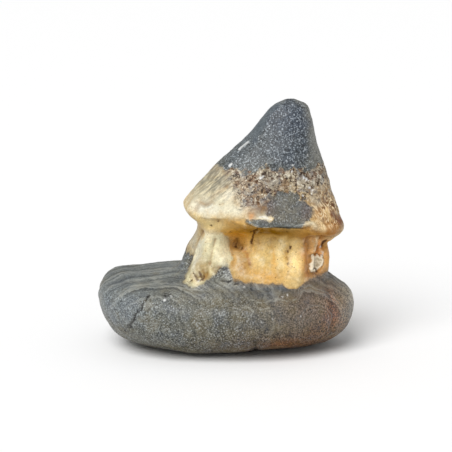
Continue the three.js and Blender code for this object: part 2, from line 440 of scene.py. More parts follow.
# Thin white streaks along the cap's left edge, a painted highlight, as (X, Z) points.
CAP_EDGE_HIGHLIGHTS = (((6.1, 110.8), (8, 112.9), (10.8, 115.2)), ((1.2, 102.3), (2.4, 103.4)))

# Stains along a line, as (X, Z) points: rust down from the cave, a red-brown
# bruise across the roof's right end and a pale flake beside the bruise.
RUST_STREAK = ((9.4, 57.5), (10.4, 54), (11.6, 50.6))
BRUISE = ((56, 77.4), (58.4, 74.8), (61.2, 71.4))
FLAKE = ((52.4, 79.6), (54.2, 77), (55.4, 74.4))
# The leg's own rock, from its edge in front of the buttress to its edge over
# the cave, as (Z, X) points.
LEG_LEFT = ((43, -21.6), (47.6, -19.6), (52.9, -17.9), (60.5, -15), (66, -12.4), (70, -12))
LEG_RIGHT = ((40, 2), (50, 2), (53, 3.2), (57.5, 2.4), (61, 1.2), (64, -1.2), (68, -3.5), (74, -4))


def along(table, at):
    """A table's second value at each first value, with straight stretches between its points."""
    return np.interp(at, *np.transpose(table))


def on_flanks(p):
    """1 on the cap's smooth left flank, outside its arris, 0.75 on the right one, and 0 on the front."""
    x, y, z = np.moveaxis(p, -1, 0)
    left = eased(0.7, -0.7, x - along(LEFT_ARRIS, z))
    right = 0.75 * eased(-3.5, 3, x - along(RIGHT_ARRIS, z))
    return np.maximum(left * eased(111, 119, z), right * eased(98, 106, z)) * eased(8, 0, y)


def into_pale(p, place):
    """Distance past the boundary into the pale rock, in mm, negative inside the dark rock.

    It is the least of the depths under the cap's edge, over the wall's foot and
    the ledge beside the leg, and out of the two dark patches in the eave: a
    rounded box with two cut corners and the plate at the front, whose dark is
    partly painted shade, and a tilted ellipse with a wandering rim at the back.
    """
    x, y, z = np.moveaxis(p, -1, 0)
    at_back = eased(-8, 8, y)
    cap = along(CAP_EDGE, x) - z
    foot_at = along(FRONT_FOOT, x) * (1 - at_back) + along(BACK_FOOT, x) * at_back
    foot = (place[:, None] - foot_at) * MM_PER_STATION
    leg_foot = np.maximum(x - along(LEG_FOOT_LEFT, z), z - 52)
    foot = np.minimum(foot, leg_foot + AWAY * eased(-6, 6, y) * eased(-18, -14, x))
    (mid_x, mid_z), (half_x, half_z) = GREY_PATCH
    boxed = (np.abs((x - mid_x) / half_x) ** 3 + np.abs((z - mid_z) / half_z) ** 3) ** (1 / 3)
    front_patch = (boxed - 1) * half_z
    for (over, up), (at_x, at_z) in PATCH_CUTS:
        front_patch = np.maximum(front_patch, over * (x - at_x) + up * (z - at_z))
    plate = from_line(p, PLATE) - 1.1 - 0.13 * np.clip(x - 10.6, 0, 7)
    front_patch = np.maximum(np.minimum(front_patch, plate), 1.2 - from_line(p, WHITE_SLIVER))
    front_patch = front_patch + AWAY * eased(-14, 0, y)
    (mid_x, mid_z), (half_x, half_z), rise = BACK_PATCH
    back_patch = (np.hypot((x - mid_x) / half_x, (z - mid_z - rise * (x - mid_x)) / half_z) - 1) * half_z
    back_patch = back_patch + 3.6 * noise(p, 9, 81, 3) + AWAY * eased(8, -4, y)
    return np.minimum(np.minimum(cap, foot), np.minimum(front_patch, back_patch))


# ---------------------------------------------------------------------------
# Colour
# ---------------------------------------------------------------------------


def linear(hex_colour):
    """An sRGB hex colour as linear red, green and blue."""
    channels = np.array([int(hex_colour[i : i + 2], 16) for i in (1, 3, 5)]) / 255
    return np.where(channels <= 0.04045, channels / 12.92, ((channels + 0.055) / 1.055) ** 2.4)


# Each stain: where, how far it reaches, colour and strength.
DARK_ROCK = "#58584c"
DARK_STAINS = (
    ((33, -5, 126), (22, 30, 20), "#38414d", 1.0),  # blue cap
    ((5, -8, 108), (9, 14, 9), "#4f565a", 0.85),
    ((32, -12, 109), (22, 20, 9), "#3d454d", 0.85),
    ((-58, -20, 28), (24, 40, 20), "#6f7576", 1.0),  # slab's blue left
    ((-30, 10, 41), (26, 30, 6), "#747a78", 0.8),  # ledge
    ((-20, -34, 24), (16, 14, 12), "#63625a", 0.6),
    ((12, -34, 28), (20, 20, 12), "#5f5849", 0.7),
    ((-12, -30, 37), (18, 10, 4), "#838074", 0.7),  # below the leg
    ((44, -26, 28), (22, 24, 14), "#6e5b4c", 0.9),  # slab's warm right
    ((60, -16, 22), (10, 20, 16), "#876e56", 0.8),
    ((55.5, -28, 28), (2.6, 14, 12), "#7c4d2a", 0.8),  # rusty crease
    ((58, -28, 20), (4.5, 14, 8), "#7c4a28", 0.85),
    ((70, 0, 30), (6, 30, 11), "#b6ab96", 0.85),
    ((47, -32, 14), (8, 14, 5), "#6b4a2c", 0.6),
    ((-35, -30, 4), (44, 40, 8), "#4c4527", 1.0),  # underside, left: brown earth, darkened as painted shade
    ((-58, -20, 14), (14, 30, 8), "#5f5f58", 0.7),
    ((40, -30, 8), (38, 40, 10), "#5c3c1a", 1.0),  # underside, right: brown earth, darkened as painted shade
    ((29, -38, 10), (7, 14, 3.5), "#80501c", 0.55),
    ((-52, -30, 16), (7, 14, 5), "#5b5740", 0.7),
    ((26, -29, 39), (8, 8, 4), "#434e58", 0.9),  # blue step under the wall
    ((1.5, -26, 45.5), (4, 8, 4.5), "#a6a69e", 1.0),  # quartz-grey wedge
    ((32.5, -24, 80), (16, 12, 12), "#686459", 0.9),  # eave's grey patch
    ((22, -24, 82), (4.5, 12, 7), "#64554a", 0.9),  # the patch's brown left side
    ((42.5, -24, 80), (3, 12, 7), "#6c5d52", 0.9),
    ((48, -24, 43), (8, 10, 4), "#7d6757", 0.8),
    ((49, -10, 94), (8, 16, 5), "#75685f", 0.8),
    ((-24, 4, 46), (7, 14, 6), "#55564f", 0.7),  # foot of the buttress
)
PALE_ROCK = "#d0b379"
PALE_STAINS = (
    ((16, -22, 67), (42, 16, 6), "#bd8c34", 0.85),  # ochre under the eave, deepened as painted shade
    ((20, 0, 97.5), (70, 60, 9.5), "#86817a", 0.95),  # rusty band under the cap
    ((-7, -6, 93), (13, 24, 8), "#938c76", 0.95),  # grey-tan left slope
    ((-15, -6, 86), (6, 24, 5), "#c0b99e", 0.8),
    ((11, -22, 86), (8, 14, 11), "#9c7857", 1.0),  # brown middle
    ((19, -24, 83), (6, 12, 8), "#6e5c4e", 0.95),
    ((-10, -20, 80.5), (12, 18, 4.4), "#dad9ca", 1.0),  # cream left eave
    ((-3, -22, 85), (7.5, 12, 5.5), "#d3ccae", 0.95),
    ((4, -24, 80), (6, 12, 4), "#ded8be", 0.9),
    ((1.5, -21, 88.2), (6, 12, 2.8), "#e0d8bf", 1.0),  # upper lobe of the cream eave
    ((-7, -24, 71.5), (13, 16, 4), "#ecd59a", 1.0),  # light left end of the ochre
    ((3, -24, 73), (8, 12, 2.8), "#c69c58", 0.9),  # shade under the roll
    ((7, -20, 64), (9, 14, 6), "#dc9800", 1.0),  # cave
    ((8.5, -24, 50), (4.5, 12, 7), "#875327", 0.95),  # stalk
    ((3.6, -24, 54), (2.4, 12, 7), "#c49a60", 0.75),
    ((27, -22, 53), (17, 12, 11), "#dec07c", 1.0),  # wall
    ((24, -23, 67.8), (20, 14, 4.5), "#7c5600", 1.0),  # shaded olive under the plate
    ((22, -25, 45), (14, 10, 4), "#cf9a4b", 0.8),
    ((29.4, -22, 54.5), (2, 8, 8), "#ebd196", 1.0),  # light columns
    ((37, -22, 53), (2.6, 8, 9), "#e9cd8e", 0.95),
    ((25, -23, 52.5), (1.6, 8, 5), "#d2a250", 0.9),  # golden flutes
    ((32.8, -23, 55), (1.2, 8, 6), "#cfa458", 0.8),
    ((35.5, -26, 42.5), (5, 8, 3), "#dcbf84", 0.9),  # light foot
    ((42.8, -19, 54), (2.4, 8, 12), "#d08a40", 0.95),  # niche's orange side
    ((49.5, -16, 54), (4.5, 12, 13), "#fdb26c", 1.0),  # niche
    ((55, -8, 51), (2.4, 12, 12), "#e0a55c", 1.0),
    ((52, -14, 80), (10, 20, 11), "#b88a5c", 0.95),  # right eave
    # painted shade under the right eave's lip
    ((50, -20, 68), (11, 12, 3.4), "#9c6606", 1.0),
    ((47.5, -18, 64.4), (5.5, 12, 2.4), "#8a5712", 0.95),  # shade in the niche's roof
    ((50, -18, 66.2), (4, 12, 1.7), "#85600f", 0.85),
    ((47.3, -16, 60.4), (1.5, 8, 4), "#f2cf98", 0.95),  # drop in the niche
    ((53, -12, 58.6), (1.8, 10, 2.2), "#7c4226", 0.9),  # red-brown round the slit
    ((48.8, -16, 54), (2, 8, 1.8), "#b57a4c", 0.9),  # over the crystal
    ((47, -20, 68.2), (9, 12, 1.3), "#d6a558", 0.85),  # arch
    ((43, -19, 46), (2.6, 10, 5), "#c87f3c", 0.9),  # orange beside the crystal
    ((49, -18, 44.4), (7, 12, 2.4), "#8f6a52", 0.9),  # mauve foot
    ((59.5, -8, 72), (2.5, 20, 5), "#603823", 0.8),
    ((44.5, -26, 73), (3.5, 8, 2), "#d3c8a8", 0.9),
    ((50.6, -20, 71.8), (1.5, 8, 3), "#f3dba6", 0.9),
    ((55, -18, 72), (3.4, 8, 2.2), "#b0752a", 0.8),
    ((47, -16, 85), (3, 10, 4.5), "#b9ac95", 0.85),
    ((43, -20, 90.5), (4.5, 12, 4.5), "#8f8472", 0.9),
    ((57, -16, 71.6), (5.5, 14, 2.2), "#bb8650", 0.9),  # right end of the lip
    ((54.5, -19, 69.4), (8, 14, 1.9), "#9c6210", 0.95),  # shade under the lip's right end
    ((18.5, -26, 81), (4.5, 8, 2.6), "#765a41", 0.9),  # brown above the plate
    ((13.6, -27, 77.8), (2.1, 8, 1.6), "#cc8c4c", 0.95),  # orange spot
    ((20.5, -27, 76.9), (5.5, 8, 1.8), "#e9dfc2", 1.0),  # white sliver
    ((33, -20, 97), (5, 10, 3.5), "#a89878", 0.8),
    ((24, -20, 96), (5, 10, 4), "#7a756b", 0.8),
    ((46, -16, 97), (4, 10, 4), "#8a8884", 0.7),
    ((-19, 0, 59), (7, 18, 9), "#b9b198", 0.95),  # buttress
    ((20, 24, 80), (40, 14, 10), "#a58d69", 0.7),  # back eave
    ((15, 22, 54), (40, 14, 12), "#cdb077", 0.7),  # back wall
)


LEG_ROCK = "#cfc7a0"
LEG_STAINS = (
    ((-10, -20, 66), (9, 14, 4), "#ebe1c0", 1.0),
    ((-15.5, -20, 55), (3.4, 14, 8), "#e9e8da", 0.9),  # left lobe's lit side
    ((-2, -22, 55), (4.5, 14, 6), "#ece3c0", 1.0),  # right lobe
    ((-10.5, -24, 49), (5, 14, 5), "#967a40", 0.85),
    ((-8, -26, 46), (6, 14, 3), "#82652a", 0.85),
    ((-15, -26, 44.5), (5, 14, 2), "#8d7038", 0.8),
    ((-15, -26, 42), (4, 14, 1.6), "#d6c796", 0.9),
    ((-15.6, -27, 42.2), (1.8, 8, 1.1), "#f2e8c8", 0.95),  # chip at the leg's tip
    ((-3.8, -26, 47.6), (2, 14, 1.6), "#7a5618", 0.9),  # painted shadow under the right lobe
    ((-7, -26, 46.4), (1.3, 14, 2.2), "#dccd9c", 0.9),  # knob beside the shade
    ((-16.6, -26, 42.2), (1.2, 14, 0.8), "#5a3c12", 0.8),
)


def blended(tint, hex_colour, share):
    """tint * (1 - share) + colour * share."""
    return tint + (linear(hex_colour) - tint) * share[..., None]


def tinted(p, ground, stains):
    """The ground colour with each stain blended in by its strength times its bell."""
    tint = np.broadcast_to(linear(ground), p.shape)
    for at, reach, hex_colour, strength in stains:
        tint = blended(tint, hex_colour, strength * near(p, at, reach))
    return tint


# ---------------------------------------------------------------------------
# The skin
# ---------------------------------------------------------------------------


def past_mound(p, mound):
    """Distance out of a mound: its height times (distance from its middle in radii - 1).

    Behind the middle, a depth of so many radii counts as log(1 + depth), so that
    the banding opens out over the ledge.
    """
    at, radii = np.array(mound, float)
    offset = (p - at) / radii
    offset[..., 1] = np.where(offset[..., 1] > 0, np.log1p(np.maximum(offset[..., 1], 0)), offset[..., 1])
    return (np.sqrt((offset**2).sum(-1)) - 1) * radii[2]


def inside_crystal(p):
    """Distance inside the crystal: radius * (1 + two sines of the angle) - distance, or inside a spike."""
    x, z = p[..., 0] - CRYSTAL[0], p[..., 2] - CRYSTAL[1]
    turn = np.arctan2(z, x)
    rim = CRYSTAL_RADIUS * (1 + 0.07 * np.sin(3 * turn + 1) + 0.07 * np.sin(5 * turn))
    spikes = [0.5 - from_line(p, line) for line in CRYSTAL_SPIKES]
    return np.maximum.reduce([rim - np.hypot(x, z), *spikes])


def hole_distance(p, at):
    """Distance from a hole's axis, which runs straight back."""
    return np.hypot(p[..., 0] - at[0], p[..., 2] - at[1])


def dark_opening_and_shadow(p):
    """Distance to the nearest of the cracks, gaps and holes on the front and the crystal's painted shadow.

    Cracks are wider at the wall's foot; a hole's dark spot has 0.6 of its radius,
    less 0.6 mm.
    """
    widening = 0.1 + 0.2 * eased(-4, -2, p[..., 0]) * eased(44, 43, p[..., 2])
    distances = [from_line(p, line) - widening for line in CRACKS]
    # the crystal's painted shadow, and the slit
    distances += [from_line(p, line) - 0.3 for line in (CRYSTAL_SHADOW, SLIT)]
    distances += [hole_distance(p, at) - 0.6 * radius + 0.6 for at, radius, _ in HOLES]
    return np.minimum.reduce(distances) + OFF * eased(-6, 4, p[..., 1])


def along_folds(p):
    """The place with its steep fold direction, down to the right, squeezed five times."""
    down = np.array([0.42, 0, -0.91])
    run = (p @ down)[..., None]
    return p - 0.8 * run * down


def weathered(p, pale, crumbly, folded):
    """The form with its relief, in millimetres along the normal.

    The relief is the sum of noises of a few sizes, each where its rock lies; of
    height * exp(-(distance / half width) ** 2) for lines, cracks and holes; of
    swells; of a step that fades to 1 / e in 4 mm from the eave's edge; of a
    cosine of the flow banding round the slab's mound; and of the crystal's rim.
    """
    x, y, z = np.moveaxis(p, -1, 0)
    at_front = eased(2, -8, y)
    is_pale = eased(-1, 1, pale)
    relief = 0.5 * noise(p, 16, 21, 3) - 0.2  # broad lumps
    relief += 0.12 * noise(p, 1.9, 11)  # grit
    relief += (1 - is_pale) * 0.12 * noise(p, 4, 61, 2)  # worn facets of the dark rock
    relief += crumbly * (0.25 * noise(p, 3.2, 31, 3) - 0.1)  # crumbs
    relief += folded * 0.5 * noise(along_folds(p), 2.2, 91, 2)  # folds of the right roof
    on_wall = is_pale * eased(42, 48, z) * eased(70, 64, z)
    relief += on_wall * 0.4 * noise(p, (5, 5, 26), 41, 2)  # flutes of the wall
    for line, half_width, height in LINES:
        relief += at_front * height * np.exp(-((from_line(p, line) / half_width) ** 2))
    for at, reach, height in SWELLS:
        relief += height * near(p, at, reach)
    for line in CRACKS:
        relief -= at_front * 0.6 * np.exp(-((from_line(p, line) / 0.7) ** 2))
    for at, radius, depth in HOLES:
        relief -= at_front * depth * np.exp(-((hole_distance(p, at) / radius) ** 2))
    over_edge = z - along(EAVE_EDGE, x)
    plate = eased(9, 12, x) * eased(46, 42, x)
    step = 1.0 * eased(-0.4, 0.4, over_edge) - 2.2 * eased(0.4, -0.4, over_edge)
    relief += at_front * plate * step * np.exp(-np.abs(over_edge) / 4)
    out = past_mound(p, MOUND)
    on_left = eased(-6, -26, x) * eased(6, 14, z) * eased(60, 45, z) * (1 - is_pale)
    flow = out + 1.2 * noise(p, (14, 14, 8), 71, 2)
    relief += on_left * 0.7 * eased(1.5, -1.5, out)
    relief += on_left * 0.16 * np.cos(2 * np.pi * flow / BANDING) * eased(-1.5, 0, out) * eased(30, 8, out)
    inside = inside_crystal(p)
    relief += at_front * (1.0 * eased(-0.4, 0.4, inside) - 0.5 * eased(0.7, 1.5, inside))
    return p + outward(p) * (relief * eased(0.0, 1.5, z))[..., None]


def hollows(p, reach):
    """How far each point lies below the mean of the points up to so many rows and columns away."""
    rows = np.arange(len(p))
    steps = range(-reach, reach + 1)
    mean = sum(p[np.clip(rows + step, 0, len(p) - 1)] for step in steps) / len(steps)
    mean = sum(np.roll(mean, step, 1) for step in steps) / len(steps)
    return ((mean - p) * outward(p)).sum(-1)


def skin(name, p, attributes):
    """One closed mesh: four-sided faces between rows, and a fan at the bed and at the peak."""
    rows, columns = p.shape[:2]
    points = np.concatenate([p.reshape(-1, 3), [p[0].mean(0)], [p[-1].mean(0)]])
    row, column = np.meshgrid(np.arange(rows - 1), np.arange(columns), indexing="ij")
    start, beside = row * columns + column, row * columns + (column + 1) % columns
    walls = np.stack([start, beside, beside + columns, start + columns], -1).reshape(-1, 4)
    ring = np.arange(columns)
    turned = np.roll(ring, -1)
    bed = np.stack([turned, ring, np.full(columns, rows * columns)], -1)
    top = (rows - 1) * columns
    peak = np.stack([ring + top, turned + top, np.full(columns, rows * columns + 1)], -1)
    mesh = bpy.data.meshes.new(name)
    mesh.from_pydata((points * MM).tolist(), [], walls.tolist() + bed.tolist() + peak.tolist())
    mesh.shade_smooth()
    for label, values in attributes.items():
        flat = values.reshape(rows * columns, -1)
        flat = np.concatenate([flat, flat[:columns].mean(0)[None], flat[-columns:].mean(0)[None]])
        if flat.shape[1] == 3:
            layer = mesh.attributes.new(label, "FLOAT_COLOR", "POINT")
            flat = np.concatenate([flat, np.ones((len(flat), 1))], 1)
            layer.data.foreach_set("color", flat.astype(np.float32).ravel())
        else:
            layer = mesh.attributes.new(label, "FLOAT", "POINT")
            layer.data.foreach_set("value", flat.astype(np.float32).ravel())
    piece = bpy.data.objects.new(name, mesh)
    bpy.context.scene.collection.objects.link(piece)
    return piece


def crumbly_band(p):
    """1 in the crumbly rock under the cap, 0.5 on the buttress, and eased down to 0 round both."""
    x, _, z = np.moveaxis(p, -1, 0)
    band = eased(80, 88, z + 5 * eased(16, 6, x)) * eased(114, 108, z) * eased(-3, 5, x - 0.35 * (97 - z))
    band = band * (1 - 0.4 * eased(40, 48, x) * eased(94, 88, z))
    return np.maximum(band, 0.5 * near(p, (-22, 6, 58), (7, 14, 9)))


def flow_banding(p, on_ledge):
    """How far out of the slab's mound or right end each point lies, wavering, and how strong the bands are.

    From X = 25 to X = 40 the first distance is eased over into the second, and
    the bands fade out and in again.
    """
    x, _, z = np.moveaxis(p, -1, 0)
    at_right = eased(25, 40, x)
    flow = past_mound(p, MOUND) * (1 - at_right) + past_mound(p, RIGHT_END) * at_right
    flow = flow + 1.2 * noise(p, (14, 14, 8), 71, 2) + 0.5 * noise(p, 3, 72)
    strength = (0.3 + 0.6 * on_ledge) * (0.5 + 0.5 * eased(6, -20, x))
    strength = strength + 0.25 * eased(15, 40, x) + 0.15 * eased(50, 57, x)
    strength = strength * (1 - 3.8 * at_right * (1 - at_right))
    return flow, strength * eased(4, 12, z) * eased(46, 42, z)


def grain(p, flank, on_ledge, plate):
    """How strong the dark rock's grain is, and how strong the light flecks in it.

    Both start at 1 and lose a share on the cap's flanks, the ledge, the grey
    patch and the plate; on the slab the grain gains and the flecks lose.
    """
    x, _, z = np.moveaxis(p, -1, 0)
    on_slab = eased(46, 42, z)
    grainy = (1 - 0.8 * np.maximum(flank, 0.8 * on_ledge)) * (1 - 0.6 * plate)
    grainy = grainy * (1 - 0.55 * near(p, (33, -26, 82), (20, 14, 9)))
    flecked = grainy * (1 - on_slab * (0.1 + 0.25 * eased(8, 20, z) + 0.5 * eased(4, 26, x)))
    grainy = grainy * (1 + 0.5 * on_slab * eased(30, 60, x)) * (1 + 1.1 * eased(24, 8, z))
    return grainy, flecked


def dark_rock_tint(wandering, pale, flank, plate, hollow):
    """The dark rock's stains, then the cap's flanks lightened partly as a painted reflection, dirt and
    painted shade in the hollows, wear and painted highlights on the ridges, the plate darkened as painted
    shade, and the wall's foot.
    """
    x, _, z = np.moveaxis(wandering, -1, 0)
    tint = tinted(wandering, DARK_ROCK, DARK_STAINS)
    # The smooth flanks in their own tone, lightened further as a painted reflection of the white
    # surroundings.
    tint = blended(tint, "#565e63", 0.85 * flank * eased(42, 24, x))
    tint = blended(tint, "#8e8c82", 0.85 * flank * eased(24, 42, x))
    # Darker in the hollows as dirt and painted shade, lighter on the ridges as wear and painted highlights.
    tint = blended(tint, "#26241f", 0.6 * eased(0.1, 1.2, hollow))
    tint = blended(tint, "#9da3a4", 0.35 * eased(-0.1, -1.2, hollow))
    # The plate darkened further: painted shade under the eave's edge.
    tint = blended(tint, "#3b3c30", 0.85 * plate)
    at_leg = eased(6, -4, x)
    return blended(tint, "#8c7250", 0.35 * eased(62, 56, z) * (1 - 0.7 * at_leg) * eased(-2.6, 0, pale))


def pale_rock_tint(p, wandering, pale, bruise, flake, hollow):
    """The pale rock's stains and the leg's, then marks along lines, the wall's foot, dirt and painted shade
    in the hollows, and wear and painted highlights on the ridges.
    """
    x, y, z = np.moveaxis(p, -1, 0)
    across = wandering[..., 0]
    on_leg = eased(0.6, -0.6, across - along(LEG_RIGHT, z))
    on_leg = on_leg * eased(-0.5, 0.5, across - along(LEG_LEFT, z))
    on_leg = (on_leg * eased(71, 65, z) * eased(2, -6, y))[..., None]
    tint = tinted(wandering, PALE_ROCK, PALE_STAINS) * (1 - on_leg)
    tint = tint + tinted(wandering, LEG_ROCK, LEG_STAINS) * on_leg
    tint = blended(tint, "#a8703a", 0.7 * eased(1.4, 0.2, from_line(wandering, RUST_STREAK)))
    tint = blended(tint, "#9a7c55", 0.45 * eased(2.4, 0.2, from_line(wandering, EAVE_FOLD)))
    tint = blended(tint, "#7a4a33", bruise)
    tint = blended(tint, "#ecca92", flake)
    at_foot, at_leg = eased(62, 56, z), eased(6, -4, x)
    tint = blended(tint, "#a87c45", 0.5 * at_foot * (1 - at_leg) * eased(2.4, 0, pale))
    tint = blended(tint, "#847c5e", 0.6 * at_foot * at_leg * eased(2.4, 0, pale))
    # Darker in the hollows, as dirt and painted shade.
    tint = blended(tint, "#7a4c17", 0.55 * eased(0.15, 1.3, hollow))
    # The ridges are painted lighter, as wear and painted highlights, but hardly on the right eave's lip and
    # in the brown middle.
    unlightened_ridges = np.maximum(near(p, (56, -18, 70), (9, 20, 3.5)), near(p, (17, -26, 82), (7, 12, 5)))
    return blended(tint, "#f6edd0", 0.4 * eased(-0.15, -1.3, hollow) * (1 - 0.85 * unlightened_ridges))


def viewing_stone():
    """The whole stone: the pushed and weathered form, and the attributes that its colours follow.

    The form is centred over the origin and kept inside the CAD solid's box. An
    attribute is a colour, a distance in millimetres, or a share from 0 to 1 for
    how strongly something shows; each is worked out for the whole grid at once.
    """
    bare, place = lofted_form()
    p = pushed(bare)
    middle = (p.reshape(-1, 3).min(0) + p.reshape(-1, 3).max(0)) / 2
    middle[2] = 0
    x, y, z = np.moveaxis(p, -1, 0)
    pale = into_pale(p, place)
    crumbly = crumbly_band(p)
    folded = near(p, (57, -12, 80), (12, 30, 12)) * eased(67, 72, z)
    finished = np.clip(weathered(p, pale, crumbly, folded) - middle, *(np.array(cad_box) / MM))
    # How much deeper the relief has made each place, most of all the narrow ones.
    hollow = 2.4 * (hollows(finished, 3) - hollows(p, 3)) + 0.6 * (hollows(finished, 9) - hollows(p, 9))
    wandering = moved_by_noise(p, 1.8, 7, (51, 52, 53), 4)
    jagged = moved_by_noise(p, 0.7, 2, (54, 55, 56), 2)
    on_ledge = eased(32, 38, z) * eased(46, 42, z)
    flank = on_flanks(wandering)
    # The plate under the eave's front edge, darkened as painted shade.
    plate = near(wandering, (23, -28, 73), (15, 9, 2))
    bruise = 0.85 * eased(2.4, 0.6, from_line(wandering, BRUISE)) * eased(8, 0, y)
    flake = 0.9 * eased(1.5, 0.5, from_line(jagged, FLAKE)) * eased(8, 0, y)
    flow, banded = flow_banding(p, on_ledge)
    grainy, flecked = grain(p, flank, on_ledge, plate)
    # Places in shade: the pale bloom is left off there as painted shade, and the sheen is lowered.
    shaded_places = (
        near(p, (7, -20, 61), (8, 14, 5)),  # cave
        near(p, (24, -22, 68), (24, 14, 4)),  # under the eave
        near(p, (49, -16, 57), (6, 12, 10)),  # niche
        near(p, (51, -20, 70), (10, 12, 3.5)),  # the eave's right lip
    )
    shaded_places = np.maximum.reduce(shaded_places)
    off_back = OFF * eased(-8, 4, y)
    white = [radius - hole_distance(jagged, at) for at, radius in QUARTZ_AND_HIGHLIGHTS]
    # the painted highlight along the cap's left edge
    white += [0.6 - from_line(p, thread) for thread in CAP_EDGE_HIGHLIGHTS]
    white += [0.35 - from_line(jagged, WHITE_SLIVER)]
    attributes = {
        "dark_tint": dark_rock_tint(wandering, pale, flank, plate, hollow),
        "pale_tint": pale_rock_tint(p, wandering, pale, bruise, flake, hollow),
        "into_pale": pale,  # distance
        "flow": flow,  # distance
        "crumbly": crumbly,
        "banded": banded,
        "grainy": grainy,
        "flecked": flecked,
        "earthy": eased(60, 40, z),  # brown earth rubbed into the slab
        # dust, which dulls the slab's underside, and a lower sheen in the shaded places
        "dusty": np.maximum(eased(24, 8, z) * (0.4 + 0.6 * eased(-10, 20, x)), shaded_places),
        "rinsed": np.maximum(eased(72, 76, z), eased(66, 58, z)) * (1 - shaded_places),  # where the pale bloom shows: it is left off under the eave and in the shaded places as painted shade
        "folded": folded * (1 - np.maximum(bruise, flake)),
        "streaked": near(p, (-6, -10, 93), (13, 26, 9)),  # the roof's left slope
        # distances: outside the cracks, holes and the crystal's painted shadow, inside the white minerals
        # and the painted highlights, and from the veins
        "crack_and_shadow": np.minimum(dark_opening_and_shadow(jagged), OFF),
        "crystal": inside_crystal(jagged) - off_back,
        "white_mineral_and_highlight": np.maximum.reduce(white) - off_back,
        "vein": np.minimum.reduce([from_line(jagged, line) for line in VEINS]) + off_back,
    }
    return skin("viewing_stone", finished, attributes)


# ---------------------------------------------------------------------------
# Materials
# ---------------------------------------------------------------------------


def add(tree, kind, inputs=None, out=0, **settings):
    """Add a node with its settings, feed its inputs values or sockets, and return its output, if any."""
    node = tree.nodes.new("ShaderNode" + kind)
    for name, value in settings.items():
        setattr(node, name, value)
    for name, value in (inputs or {}).items():
        if isinstance(value, bpy.types.NodeSocket):
            tree.links.new(value, node.inputs[name])
        else:
            node.inputs[name].default_value = value
    return node.outputs[out] if node.outputs else None


def rgba(hex_colour):
    """An sRGB hex colour as linear red, green, blue and full cover."""
    return (*linear(hex_colour), 1)


def per(millimetres):
    """The scale that gives a pattern one repeat in so many millimetres."""
    return 1 / (millimetres * MM)


def layered(tree, colour, layers):
    """Lay colours over each other.

    Each layer's colour covers by most * mask * clamp((value - low) / (high - low)).
    """
    for value, low, high, most, mask, hex_colour in layers:
        limits = {"Value": value, "From Min": low, "From Max": high, "To Min": 0.0, "To Max": most}
        share = add(tree, "MapRange", limits)
        masked = add(tree, "Math", {0: share, 1: mask}, operation="MULTIPLY")
        blend = {0: masked, 6: colour, 7: rgba(hex_colour)}
        colour = add(tree, "Mix", blend, out=2, data_type="RGBA")
    return colour


